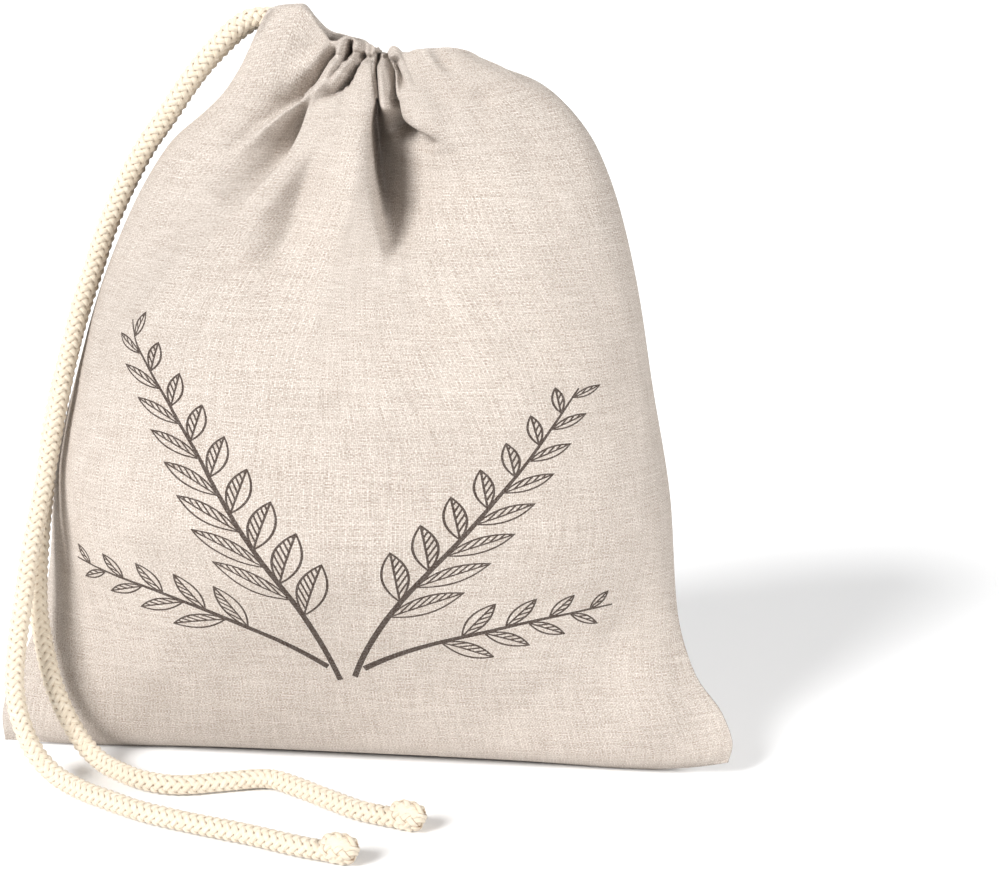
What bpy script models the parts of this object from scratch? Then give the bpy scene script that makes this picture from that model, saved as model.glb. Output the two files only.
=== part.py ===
"""Linen bread bag: a filled drawstring bag that stands on its flat base.

The bag is one sheet of cloth, lofted from the bottom seam up to the gathered
mouth, with its folds raised in the sheet.  Two tails of the drawcord leave the
left end of the hem, lie on the surface in front and end in knots.

Metres, +Z up, +X along the width, the front faces -Y.
"""
from collections import namedtuple
from math import pi

import bmesh
import bpy
import numpy as np

# ---------------------------------------------------------------- driving sizes
CLOTH = 0.0014            # thickness of the sheet
SEAM_PUFF = 0.0022        # half thickness that the sheet keeps beside its seams
# How the columns of faces spread across a panel: close together where the folds are.
Columns = namedtuple("Columns", "count u")
COLUMNS = (Columns(9, .20), Columns(27, .66), Columns(12, 1.0))
WALL_SHARE = 0.55         # most of the local half depth that the wall may fill

# A row for each level of the bag, from the bottom seam to the mouth.
#   s                  height along the cloth, 0 at the bottom seam and 1 at the mouth
#   left, right        x of the two side seams
#   z_left, z_right    their heights
#   seam               y of the side seams
#   front, z_front     y and height of the middle of the front panel
#   back, z_back       y and height of the middle of the back panel
#   power, edge        plan outline: depth = (1 - |x|**power)**edge
#   level              share of the half width that stays at the height of the middle
#   round              1 where the columns close up towards the seams, 0 where they are even
#   steps              rows of faces up to the next level
Level = namedtuple("Level", "name s left z_left right z_right seam front z_front back z_back"
                            " power edge level round steps")
LEVELS = (
    Level("seam",     .000, -.1415, .005, .1410, .007, -.027, -.0170, .0000, -.0170, .0000, 3.0, 1.2, .62, .0, 1),
    Level("sole",     .055, -.1425, .014, .1425, .014, -.026, -.0240, .0080, .0040, .0000, 3.2, 1.3, .62, .0, 1),
    Level("heel",     .110, -.1400, .024, .1385, .025, -.024, -.0320, .0220, .0250, .0000, 3.4, 1.4, .55, .0, 2),
    Level("foot",     .175, -.1310, .040, .1280, .039, -.021, -.0400, .0400, .0400, .0100, 3.2, 1.2, .35, .1, 2),
    Level("low",      .250, -.1235, .062, .1205, .060, -.012, -.0470, .0620, .0485, .0340, 2.8, .85, .20, .5, 2),
    Level("belly",    .390, -.1220, .104, .1165, .102, -.003, -.0540, .1020, .0540, .0820, 2.4, .58, .05, 1., 2),
    Level("mid",      .540, -.1130, .146, .1090, .144, .000, -.0525, .1450, .0530, .1320, 2.2, .52, .00, 1., 3),
    Level("upper",    .700, -.0985, .190, .1015, .188, .001, -.0430, .1890, .0470, .1820, 2.1, .50, .00, 1., 5),
    Level("shoulder", .850, -.0755, .233, .0870, .234, .002, -.0280, .2300, .0360, .2280, 2.2, .50, .00, 1., 5),
    Level("neck",     .935, -.0530, .254, .0650, .258, .003, -.0160, .2530, .0240, .2530, 2.8, .50, .00, 1., 5),
    Level("mouth",    1.00, -.0345, .283, .0430, .266, .003, -.0090, .2700, .0155, .2710, 6.0, .50, .00, 1., 0),
)
GATHER_FROM = .58         # level from which the columns draw in to the gathers

# Where the columns of a panel come to at the mouth, and the height of its edge there.
Mouth = namedtuple("Mouth", "u x z")
MOUTH = (
    Mouth(.00, -.0345, .2830),
    Mouth(.05, -.0290, .2848),
    Mouth(.10, -.0225, .2858),
    Mouth(.15, -.0165, .2795),
    Mouth(.20, -.0105, .2712),
    Mouth(.27, -.0060, .2700),
    Mouth(.34, -.0015, .2712),
    Mouth(.45, .0050, .2708),
    Mouth(.56, .0110, .2692),
    Mouth(.68, .0185, .2690),
    Mouth(.80, .0285, .2706),
    Mouth(.90, .0370, .2698),
    Mouth(1.0, .0430, .2660),
)

# A row for each fold: its line down the panel in x and z, how far the cloth goes in
# (negative) or out at each point of the line, how wide it is on its left and its right
# at the top and at the foot of the line, and how crisp each side is (2 soft, 4 a wall).
Fold = namedtuple("Fold", "name line depth left right crisp")
FRONT_FOLDS = (
    Fold("tab_dent",
         ((-.0183, .2735), (-.0225, .2694), (-.0290, .2640)),
         (-.0005, -.0018, 0.), (.003, .005), (.003, .005), (2, 2)),
    Fold("tab_valley",
         ((-.0060, .2770), (-.0143, .2611), (-.0176, .2555), (-.0214, .2516), (-.0279, .2491),
          (-.0344, .2459), (-.0404, .2423), (-.0466, .2392), (-.0575, .2335)),
         (-.0030, -.0070, -.0080, -.0075, -.0068, -.0060, -.0052, -.0036, 0.),
         (.004, .010), (.0022, .005), (2, 3)),
    Fold("finger_1",
         ((-.0030, .2770), (-.0116, .2594), (-.0165, .2551), (-.0264, .2480), (-.0363, .2417),
          (-.0461, .2342), (-.0535, .2289), (-.0613, .2218)),
         (.0020, .0030, .0030, .0032, .0030, .0026, .0016, 0.),
         (.0025, .006), (.003, .008), (2, 2)),
    Fold("finger_gap",
         ((.0000, .2770), (-.0024, .2669), (-.0073, .2619), (-.0114, .2569)),
         (-.0020, -.0030, -.0025, 0.), (.0015, .0015), (.0015, .0015), (2, 2)),
    Fold("finger_2",
         ((.0020, .2770), (.0008, .2686), (-.0036, .2626), (-.0081, .2577), (-.0127, .2545)),
         (.0015, .0020, .0024, .0016, 0.), (.002, .003), (.0025, .003), (2, 2)),
    Fold("pillar_left",
         ((.0045, .2770), (.0036, .2662), (.0013, .2616), (-.0011, .2577), (-.0078, .2533),
          (-.0152, .2523), (-.0206, .2490), (-.0231, .2442), (-.0270, .2379), (-.0310, .2316),
          (-.0357, .2239), (-.0412, .2150), (-.0467, .2060)),
         (-.0020, -.0030, -.0040, -.0042, -.0045, -.0055, -.0070, -.0085, -.0092, -.0088, -.0070, -.0038, 0.),
         (.003, .012), (.0014, .006), (2, 3)),
    Fold("pillar_edge",
         ((-.0139, .2506), (-.0178, .2432), (-.0209, .2352), (-.0251, .2268), (-.0302, .2183),
          (-.0365, .2090), (-.0430, .2000)),
         (.0005, .0014, .0020, .0024, .0022, .0012, 0.), (.003, .006), (.005, .008), (2, 2)),
    Fold("pillar_dip",
         ((-.0145, .2294), (-.0185, .2206), (-.0229, .2118), (-.0279, .2013), (-.0337, .1900)),
         (0., -.0024, -.0030, -.0022, 0.), (.006, .009), (.006, .010), (2, 2)),
    Fold("pillar",
         ((.0060, .2770), (.0052, .2641), (.0040, .2539), (.0011, .2434), (-.0026, .2330),
          (-.0045, .2208), (-.0046, .2086), (-.0030, .1940)),
         (.0015, .0024, .0045, .0060, .0066, .0052, .0030, 0.),
         (.0025, .014), (.0025, .009), (2, 2)),
    Fold("deep_valley",
         ((.0078, .2770), (.0088, .2655), (.0107, .2529), (.0105, .2452), (.0110, .2383), (.0135, .2280),
          (.0158, .2176), (.0177, .2079), (.0199, .2003), (.0228, .1930)),
         (-.0015, -.0040, -.0085, -.0130, -.0165, -.0160, -.0130, -.0090, -.0048, 0.),
         (.0020, .0060), (.0025, .026), (3, 2)),
    Fold("narrow_fold",
         ((.0095, .2770), (.0116, .2557), (.0136, .2481), (.0160, .2395)),
         (.0015, .0045, .0050, 0.), (.0018, .0024), (.0018, .003), (2, 2)),
    Fold("hook_valley",
         ((.0112, .2770), (.0116, .2627), (.0137, .2529), (.0164, .2456), (.0180, .2429), (.0222, .2405),
          (.0290, .2378), (.0325, .2362)),
         (-.0020, -.0040, -.0060, -.0085, -.0085, -.0060, -.0030, 0.),
         (.0018, .006), (.0016, .0022), (2, 3)),
    Fold("notch",
         ((.0140, .2770), (.0155, .2630), (.0175, .2560)),
         (-.0020, -.0045, 0.), (.0018, .0018), (.0020, .0022), (2, 2)),
    Fold("right_rise",
         ((.0165, .2770), (.0180, .2656), (.0215, .2558), (.0270, .2454), (.0325, .2370), (.0375, .2270)),
         (.0010, .0016, .0034, .0048, .0030, 0.),
         (.0025, .008), (.005, .018), (2, 2)),
    Fold("hump_crease",
         ((.0270, .2710), (.0320, .2650), (.0380, .2610)),
         (-.0008, -.0022, 0.), (.002, .0022), (.002, .0022), (2, 2)),
    Fold("side_crease",
         ((.0430, .2570), (.0480, .2520), (.0550, .2480)),
         (0., -.0016, 0.), (.004, .004), (.003, .003), (2, 2)),
    Fold("left_lip",
         ((-.1175, .1000), (-.1178, .0750), (-.1165, .0550), (-.1150, .0380), (-.1090, .0220)),
         (0., -.0026, -.0042, -.0040, 0.), (.0028, .004), (.007, .016), (2, 2)),
    Fold("left_foot",
         ((-.1080, .0260), (-.0900, .0150), (-.0600, .0110), (-.0350, .0090)),
         (0., -.0050, -.0050, 0.), (.016, .012), (.016, .012), (2, 2)),
    Fold("right_ear",
         ((.1140, .0560), (.1150, .0400), (.1190, .0240), (.1260, .0130)),
         (0., -.0030, -.0036, 0.), (.012, .012), (.008, .008), (2, 2)),
)
BACK_FOLDS = (
    Fold("valley_1",
         ((-.0070, .2770), (-.0160, .2560), (-.0310, .2360), (-.0510, .2120)),
         (-.0030, -.0060, -.0055, 0.), (.003, .007), (.003, .010), (3, 2)),
    Fold("ridge_1",
         ((-.0020, .2770), (-.0070, .2540), (-.0180, .2300), (-.0300, .2020)),
         (.0020, .0040, .0044, 0.), (.003, .009), (.003, .008), (2, 2)),
    Fold("valley_2",
         ((.0030, .2770), (.0010, .2520), (-.0060, .2280), (-.0120, .1960)),
         (-.0025, -.0080, -.0110, 0.), (.002, .012), (.002, .006), (2, 3)),
    Fold("ridge_2",
         ((.0070, .2770), (.0090, .2520), (.0100, .2250), (.0090, .1960)),
         (.0020, .0040, .0050, 0.), (.0025, .008), (.0025, .009), (2, 2)),
    Fold("valley_3",
         ((.0120, .2770), (.0180, .2540), (.0270, .2320), (.0380, .2050)),
         (-.0025, -.0070, -.0090, 0.), (.0025, .006), (.0025, .012), (3, 2)),
    Fold("ridge_3",
         ((.0160, .2770), (.0250, .2560), (.0390, .2360), (.0530, .2140)),
         (.0015, .0035, .0034, 0.), (.0025, .008), (.003, .009), (2, 2)),
    Fold("valley_4",
         ((.0210, .2770), (.0330, .2600), (.0490, .2440), (.0670, .2260)),
         (-.0020, -.0044, -.0034, 0.), (.0025, .006), (.003, .008), (2, 2)),
)
FOLD_STEPS = 8            # straight steps for each stretch of a fold's line

# ---------------------------------------------------------------- drawcord sizes
CORD_D = 0.0078           # diameter of the braided cord
CORD_SPACING = 2.6 * CORD_D
KNOT_LENGTH = 0.0150
KNOT_D = 0.0112
KNOT_ENDS = 0.85          # share of the knot's length at which its round ends are cut flat
GAP = 0.0003              # what pieces that touch keep between them

# The cord's route from the hem to its knot, point by point: down beside the bag, then along the surface.
FRONT_ROUTE = (
    (-.0395, -.0020, .2812), (-.0448, -.0026, .2792), (-.0500, -.0030, .2750), (-.0582, -.0030, .2666),
    (-.0661, -.0030, .2570), (-.0746, -.0030, .2451), (-.0824, -.0040, .2343), (-.0891, -.0050, .2227),
    (-.0939, -.0060, .2129), (-.0987, -.0070, .2020), (-.1033, -.0090, .1881), (-.1078, -.0120, .1742),
    (-.1110, -.0160, .1595), (-.1136, -.0200, .1455), (-.1166, -.0240, .1284), (-.1198, -.0300, .1067),
    (-.1234, -.0360, .0854), (-.1254, -.0430, .0650), (-.1264, -.0490, .0499), (-.1262, -.0545, .0369),
    (-.1232, -.0590, .0250), (-.1168, -.0630, .0130), (-.1075, -.0675, .0060), (-.0960, -.0750, .0042),
    (-.0859, -.0818, .0042), (-.0661, -.0932, .0042), (-.0426, -.1020, .0042), (-.0254, -.1075, .0042),
    (-.0057, -.1152, .0042), (.0102, -.1196, .0042),
)
BACK_ROUTE = (
    (-.0402, .0078, .2806), (-.0448, .0070, .2784), (-.0505, .0062, .2742), (-.0598, .0060, .2652),
    (-.0680, .0060, .2555), (-.0766, .0060, .2436), (-.0846, .0052, .2327), (-.0914, .0044, .2209),
    (-.0964, .0036, .2111), (-.1013, .0028, .2000), (-.1060, .0010, .1860), (-.1108, -.0012, .1719),
    (-.1147, -.0052, .1570), (-.1178, -.0100, .1429), (-.1208, -.0150, .1256), (-.1228, -.0195, .1042),
    (-.1240, -.0255, .0824), (-.1237, -.0312, .0613), (-.1212, -.0345, .0466), (-.1170, -.0380, .0315),
    (-.1110, -.0410, .0190), (-.1040, -.0445, .0100), (-.0955, -.0500, .0052), (-.0860, -.0570, .0042),
    (-.0740, -.0645, .0042), (-.0600, -.0670, .0042), (-.0428, -.0610, .0042), (-.0290, -.0570, .0042),
    (-.0168, -.0635, .0042), (-.0021, -.0740, .0042), (.0113, -.0828, .0042), (.0287, -.0888, .0042),
)


# ---------------------------------------------------------------- curves through tables
def through(places, values, at):
    """The values at any place along a table, on a curve that never overshoots its rows."""
    places = np.asarray(places, float)
    values = np.asarray(values, float)
    gaps = np.diff(places)
    rise = np.diff(values) / gaps
    slope = np.concatenate((rise[:1], np.zeros(len(rise) - 1), rise[-1:]))
    for i in range(1, len(rise)):
        if rise[i - 1] * rise[i] > 0:
            before = 2 * gaps[i] + gaps[i - 1]
            after = gaps[i] + 2 * gaps[i - 1]
            slope[i] = (before + after) / (before / rise[i - 1] + after / rise[i])
    i = np.clip(np.searchsorted(places, at, side="right") - 1, 0, len(gaps) - 1)
    t = (at - places[i]) / gaps[i]
    start = values[i] * (1 + 2 * t) * (1 - t) ** 2 + slope[i] * gaps[i] * t * (1 - t) ** 2
    end = values[i + 1] * t * t * (3 - 2 * t) - slope[i + 1] * gaps[i] * t * t * (1 - t)
    return start + end


def smooth_line(points, steps):
    """A smooth curve through the points, as short straight steps."""
    points = np.asarray(points, float)
    padded = np.vstack((2 * points[0] - points[1], points, 2 * points[-1] - points[-2]))
    line = []
    for a, b, c, d in zip(padded, padded[1:], padded[2:], padded[3:]):
        for t in np.arange(steps) / steps:
            line.append(b + t * (c - a) / 2 + t * t * (a - 2.5 * b + 2 * c - d / 2)
                        + t ** 3 * (1.5 * (b - c) + (d - a) / 2))
    line.append(points[-1])
    return np.array(line)


def evenly(line, pitch):
    """Points at even distances along a line, its two ends included."""
    along = np.concatenate(([0.], np.cumsum(np.linalg.norm(np.diff(line, axis=0), axis=1))))
    marks = np.linspace(0., along[-1], max(2, round(along[-1] / pitch) + 1))
    return np.column_stack([np.interp(marks, along, line[:, k]) for k in range(3)])


def ease(value):
    value = np.clip(value, 0., 1.)
    return value * value * (3 - 2 * value)


# ---------------------------------------------------------------- the bag's surface
def fold_height(x, z, fold):
    """How far one fold moves the cloth out at each point of a panel."""
    line = smooth_line(fold.line, FOLD_STEPS)
    marks = np.linspace(0., len(fold.depth) - 1., len(line))
    depth = through(np.arange(len(fold.depth)), fold.depth, marks)
    nearest = np.full(x.shape, np.inf)
    height = np.zeros(x.shape)
    for k, (a, b, da, db) in enumerate(zip(line, line[1:], depth, depth[1:])):
        run = b - a
        t = np.clip(((x - a[0]) * run[0] + (z - a[1]) * run[1]) / (run @ run), 0., 1.)
        off_x = x - a[0] - t * run[0]
        off_z = z - a[1] - t * run[1]
        distance = np.hypot(off_x, off_z)
        is_right = run[0] * off_z - run[1] * off_x > 0
        down = (k + t) / (len(line) - 1)
        left = fold.left[0] + (fold.left[1] - fold.left[0]) * down
        right = fold.right[0] + (fold.right[1] - fold.right[0]) * down
        power = np.where(is_right, fold.crisp[1], fold.crisp[0])
        here = (da + t * (db - da)) * np.exp(-(distance / np.where(is_right, right, left)) ** power)
        height = np.where(distance < nearest, here, height)
        nearest = np.minimum(distance, nearest)
    return height


def panel_points(u, s, side):
    """Points of one panel: u runs from the left seam to the right, s up from the bottom seam.

    side is -1 for the front panel and 1 for the back one.
    """
    levels = [level.s for level in LEVELS]
    at = {field: through(levels, [getattr(level, field) for level in LEVELS], s)
          for field in Level._fields[2:-1]}
    mouth = LEVELS[-1]
    mouth_u = [row.u for row in MOUTH]
    mouth_x = through(mouth_u, [row.x for row in MOUTH], u)
    mouth_z = through(mouth_u, [row.z for row in MOUTH], u)

    even = 2 * u - 1
    across = even + (-np.cos(pi * u) - even) * at["round"]
    gathered = (2 * mouth_x - mouth.left - mouth.right) / (mouth.right - mouth.left)
    mouth_z_seams = (mouth.z_left + mouth.z_right + (mouth.z_right - mouth.z_left) * gathered) / 2
    across += (gathered - across) * ease((s - GATHER_FROM) / (1 - GATHER_FROM))
    across = np.clip(across, -1., 1.)

    middle = at["front"] if side < 0 else at["back"]
    z_middle = at["z_front"] if side < 0 else at["z_back"]
    x = (at["left"] + at["right"]) / 2 + (at["right"] - at["left"]) / 2 * across
    outline = (1 - np.abs(across) ** at["power"]) ** at["edge"]
    puff = SEAM_PUFF * np.sqrt(1 - np.abs(even) ** 20) * ease(s / 0.03)
    y = at["seam"] + (middle - at["seam"]) * outline + side * puff

    z_seams = (at["z_left"] + at["z_right"]) / 2 + (at["z_right"] - at["z_left"]) / 2 * across
    rise = np.clip((np.abs(across) - at["level"]) / (1 - at["level"]), 0., 1.) ** 2
    z = z_middle + (z_seams - z_middle) * rise
    rim = mouth.z_front + (mouth_z_seams - mouth.z_front) * np.abs(gathered) ** 2
    z += (mouth_z - rim) * ease((s - .90) / .10)

    folds = FRONT_FOLDS if side < 0 else BACK_FOLDS
    y += side * sum(fold_height(x, z, fold) for fold in folds)
    return np.stack((x, y, z), axis=-1)


def column_marks():
    """The places u of the columns across a panel."""
    marks = [0.]
    for part in COLUMNS:
        marks += list(np.linspace(marks[-1], part.u, part.count + 1)[1:])
    return np.array(marks)


def level_rows():
    """The heights s of the rows of faces, with each level's own steps."""
    rows = [0.]
    for low, high in zip(LEVELS, LEVELS[1:]):
        rows += [low.s + (high.s - low.s) * (k + 1) / low.steps for k in range(low.steps)]
    return np.array(rows)


def make_material(name, colour, roughness):
    material = bpy.data.materials.new(name)
    material.use_nodes = True
    shader = material.node_tree.nodes["Principled BSDF"]
    shader.inputs["Base Color"].default_value = (*colour, 1.)
    shader.inputs["Roughness"].default_value = roughness
    shader.inputs["Metallic"].default_value = 0.
    return material


def add_object(name, data, material, collection):
    piece = bpy.data.objects.new(name, data)
    piece.data.materials.append(material)
    collection.objects.link(piece)
    return piece


def make_bag(collection, material):
    """The cloth bag: rings of points round both panels, closed along the bottom seam."""
    u = column_marks()
    rows = level_rows()
    grid_u, grid_s = np.meshgrid(u, rows)
    front = panel_points(grid_u, grid_s, -1)
    back = panel_points(grid_u, grid_s, 1)
    front[:, (0, -1)] = back[:, (0, -1)] = (front[:, (0, -1)] + back[:, (0, -1)]) / 2
    front[0] = back[0] = (front[0] + back[0]) / 2
    half_depth = np.linalg.norm(front - back, axis=-1) / 2
    wall = np.clip(WALL_SHARE * half_depth / CLOTH, .05, 1.)
    wall[:, (0, -1)] = wall[0] = 1.

    mesh = bmesh.new()
    weight = mesh.verts.layers.deform.verify()

    def vertex(place, share):
        point = mesh.verts.new(place)
        point[weight][0] = share
        return point

    seam = [vertex(p, w) for p, w in zip(front[0], wall[0])]
    rings = [seam + seam[-2:0:-1]]
    for f, b, w in zip(front[1:], back[1:], wall[1:]):
        places = np.vstack((f, b[-2:0:-1]))
        shares = np.concatenate((w, w[-2:0:-1]))
        rings.append([vertex(p, share) for p, share in zip(places, shares)])
    for low, high in zip(rings, rings[1:]):
        for a, b, c, d in zip(low, low[1:] + low[:1], high[1:] + high[:1], high):
            mesh.faces.new((a, b, c, d))
    data = bpy.data.meshes.new("bag")
    mesh.to_mesh(data)
    mesh.free()
    data.shade_smooth()

    bag = add_object("bag", data, material, collection)
    bag.vertex_groups.new(name="wall")
    solidify = bag.modifiers.new("cloth", "SOLIDIFY")
    solidify.thickness = CLOTH
    solidify.offset = -1
    solidify.vertex_group = "wall"
    solidify.use_quality_normals = True
    return bag


def tail_points(route):
    """Points along a tail, from the hem to the near face of its knot."""
    line = smooth_line(route, FOLD_STEPS)
    away = np.linalg.norm(line - line[-1], axis=1)
    reach = KNOT_LENGTH / 2 + GAP
    last = np.flatnonzero(away > reach)[-1]
    share = (away[last] - reach) / (away[last] - away[last + 1])
    stop = line[last] + share * (line[last + 1] - line[last])
    return evenly(np.vstack((line[:last + 1], stop)), CORD_SPACING)


def make_tail(name, route, collection, material):
    """One tail of the drawcord, which stops just short of its knot."""
    points = tail_points(route)
    curve = bpy.data.curves.new(name, "CURVE")
    curve.dimensions = "3D"
    curve.bevel_depth = CORD_D / 2
    curve.bevel_resolution = 2
    curve.use_fill_caps = True
    spline = curve.splines.new("POLY")
    spline.points.add(len(points) - 1)
    for point, place in zip(spline.points, points):
        point.co = (*place, 1.)
    return add_object(name, curve, material, collection)


def make_knot(name, route, collection, material):
    """A tight end knot: a short lump with two wraps of the cord raised round it."""
    end = route[-1]
    before, last = tail_points(route)[-2:]
    run = last - before
    mesh = bmesh.new()
    bmesh.ops.create_uvsphere(mesh, u_segments=20, v_segments=12, radius=.5)
    for vert in mesh.verts:
        x, y, z = vert.co * 2
        turn = np.arctan2(y, x)
        wraps = 1 + .07 * np.cos(2 * pi * 1.2 * z + turn)
        z = min(max(z / KNOT_ENDS, -1.), 1.)
        vert.co = (z * KNOT_LENGTH / 2, x * KNOT_D / 2 * wraps, y * KNOT_D / 2 * wraps)
    data = bpy.data.meshes.new(name)
    mesh.to_mesh(data)
    mesh.free()
    data.shade_smooth()
    lowest = min(vert.co.z for vert in data.vertices)
    knot = add_object(name, data, material, collection)
    knot.location = (end[0], end[1], -lowest)
    knot.rotation_euler = (0., 0., np.arctan2(run[1], run[0]))
    return knot


def main():
    for old in list(bpy.data.objects):
        bpy.data.objects.remove(old)
    collection = bpy.data.collections.new("linen_bread_bag")
    bpy.context.scene.collection.children.link(collection)
    linen = make_material("linen", (.66, .58, .49), .92)
    cotton = make_material("cotton_cord", (.82, .74, .63), .88)
    make_bag(collection, linen)
    make_tail("cord_tail_front", FRONT_ROUTE, collection, cotton)
    make_tail("cord_tail_back", BACK_ROUTE, collection, cotton)
    make_knot("knot_front", FRONT_ROUTE, collection, cotton)
    make_knot("knot_back", BACK_ROUTE, collection, cotton)


main()
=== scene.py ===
from collections import namedtuple
from math import cos, pi, radians, sin

import bpy
import numpy as np
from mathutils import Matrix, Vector


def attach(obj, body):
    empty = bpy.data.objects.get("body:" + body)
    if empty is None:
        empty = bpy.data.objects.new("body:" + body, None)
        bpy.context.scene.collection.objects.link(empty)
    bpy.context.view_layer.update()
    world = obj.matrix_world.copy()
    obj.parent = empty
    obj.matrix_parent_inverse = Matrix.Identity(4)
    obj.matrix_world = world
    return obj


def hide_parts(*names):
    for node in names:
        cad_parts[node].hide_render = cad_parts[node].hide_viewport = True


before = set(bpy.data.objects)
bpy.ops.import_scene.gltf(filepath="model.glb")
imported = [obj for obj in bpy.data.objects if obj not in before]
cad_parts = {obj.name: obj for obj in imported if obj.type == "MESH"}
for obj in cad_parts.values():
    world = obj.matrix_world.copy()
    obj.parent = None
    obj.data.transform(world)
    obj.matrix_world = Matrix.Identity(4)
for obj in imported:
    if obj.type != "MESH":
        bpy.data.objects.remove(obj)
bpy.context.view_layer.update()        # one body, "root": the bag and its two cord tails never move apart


# ================================================================ camera
CAMERA_AIM = Vector((.0505, .0030, .1238))
CAMERA_DISTANCE = .820
CAMERA_AZIMUTH = 7        # degrees towards +X from straight in front
CAMERA_ELEVATION = 13
CAMERA_LENS = 77.14       # millimetres, on a 36 mm sensor


def make_camera():
    azimuth = radians(CAMERA_AZIMUTH)
    elevation = radians(CAMERA_ELEVATION)
    away = Vector((sin(azimuth) * cos(elevation), -cos(azimuth) * cos(elevation), sin(elevation)))
    camera = bpy.data.objects.new("camera", bpy.data.cameras.new("camera"))
    camera.data.lens = CAMERA_LENS
    camera.data.sensor_width = 36
    camera.location = CAMERA_AIM + away * CAMERA_DISTANCE
    camera.rotation_euler = away.to_track_quat("Z", "Y").to_euler()
    bpy.context.scene.collection.objects.link(camera)
    bpy.context.scene.camera = camera


# ================================================================ tables of the bag
CLOTH = .0007             # thickness of the linen
PANEL_WIDTH = .284        # flat width between the side seams
PANEL_HEIGHT = .306       # flat height from the bottom seam to the rim
HEM_DEPTH = .020          # how far the hem reaches down inside the mouth
HEM_ROLL = .0010          # radius of the fold at the rim
HEM_PINCH = .06           # how far from the side seams, in u, the hem's layers draw together
SEAM_PUFF = .0022         # half thickness that the panels keep beside their seams

# A row for each level of the bag, from the bottom seam to the mouth.
#   s                  height along the cloth, 0 at the bottom seam and 1 at the mouth
#   left, right        x of the two side seams
#   z_left, z_right    their heights
#   seam               y of the side seams
#   front, z_front     y and height of the middle of the front panel
#   back, z_back       y and height of the middle of the back panel
#   power, edge        plan outline: depth = (1 - |x|**power)**edge
#   level              share of the half width that stays at the height of the middle
#   round              1 where the columns close up towards the seams, 0 where they are even
Level = namedtuple("Level", "name s left z_left right z_right seam front z_front back z_back"
                            " power edge level round")
LEVELS = (
    Level("seam",     .000, -.1415, .003, .1410, .007, -.027, -.0170, .0000, -.0170, .0000, 3.0, 1.2, .62, .0),
    Level("sole",     .055, -.1425, .012, .1425, .014, -.026, -.0280, .0075, .0040, .0000, 3.2, 1.3, .62, .0),
    Level("heel",     .110, -.1405, .023, .1385, .025, -.024, -.0345, .0215, .0250, .0000, 3.4, 1.4, .55, .0),
    Level("foot",     .175, -.1325, .040, .1280, .039, -.021, -.0400, .0400, .0400, .0100, 3.2, 1.2, .35, .1),
    Level("low",      .250, -.1266, .062, .1205, .060, -.012, -.0470, .0620, .0485, .0340, 2.8, .85, .20, .5),
    Level("belly",    .390, -.1234, .104, .1165, .102, -.003, -.0540, .1020, .0540, .0820, 2.4, .58, .05, 1.),
    Level("mid",      .540, -.1130, .146, .1090, .144, .000, -.0525, .1450, .0530, .1320, 2.2, .52, .00, 1.),
    Level("upper",    .700, -.0985, .190, .1015, .188, .001, -.0430, .1890, .0470, .1820, 2.1, .50, .00, 1.),
    Level("shoulder", .850, -.0755, .233, .0870, .234, .002, -.0280, .2300, .0360, .2280, 2.2, .50, .00, 1.),
    Level("neck",     .935, -.0530, .254, .0650, .258, .003, -.0160, .2530, .0240, .2530, 2.8, .50, .00, 1.),
    Level("mouth",    1.00, -.0345, .283, .0430, .266, .003, -.0090, .2700, .0155, .2710, 6.0, .50, .00, 1.),
)
GATHER_FROM = .58         # level from which the columns draw in to the gathers
RIM_FROM = .90            # level from which heights turn into those of the rim
PUFF_BY = .03             # level by which the panels keep all of SEAM_PUFF
PUFF_POWER = 20           # how close to the seams the puff stays, higher for closer

# Where the columns of each panel come to at the mouth, and the height of its edge there.
Mouth = namedtuple("Mouth", "u x z")
FRONT_MOUTH = (
    Mouth(.000, -.0345, .2830),
    Mouth(.050, -.0295, .2848),
    Mouth(.110, -.0212, .2853),
    Mouth(.135, -.0172, .2822),
    Mouth(.155, -.0139, .2772),
    Mouth(.170, -.0117, .2742),
    Mouth(.185, -.0100, .2722),
    Mouth(.205, -.0077, .2722),
    Mouth(.237, -.0054, .2734),
    Mouth(.280, -.0036, .2740),
    Mouth(.320, -.0020, .2735),
    Mouth(.352, -.0009, .2727),
    Mouth(.405, .0020, .2716),
    Mouth(.452, .0046, .2706),
    Mouth(.492, .0068, .2693),
    Mouth(.527, .0087, .2674),
    Mouth(.560, .0105, .2676),
    Mouth(.585, .0119, .2695),
    Mouth(.617, .0138, .2707),
    Mouth(.652, .0156, .2700),
    Mouth(.680, .0172, .2684),
    Mouth(.704, .0186, .2683),
    Mouth(.748, .0215, .2693),
    Mouth(.800, .0260, .2698),
    Mouth(.860, .0315, .2701),
    Mouth(.900, .0360, .2697),
    Mouth(.950, .0400, .2685),
    Mouth(1.00, .0430, .2655),
)
BACK_MOUTH = (
    Mouth(.000, -.0345, .2830),
    Mouth(.050, -.0305, .2842),
    Mouth(.100, -.0250, .2844),
    Mouth(.140, -.0222, .2812),
    Mouth(.170, -.0192, .2776),
    Mouth(.200, -.0162, .2746),
    Mouth(.240, -.0130, .2731),
    Mouth(.280, -.0095, .2726),
    Mouth(.320, -.0065, .2716),
    Mouth(.380, -.0030, .2702),
    Mouth(.440, .0005, .2684),
    Mouth(.500, .0040, .2664),
    Mouth(.560, .0080, .2650),
    Mouth(.640, .0125, .2652),
    Mouth(.740, .0190, .2660),
    Mouth(.840, .0270, .2672),
    Mouth(.920, .0350, .2678),
    Mouth(1.00, .0430, .2655),
)

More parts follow.
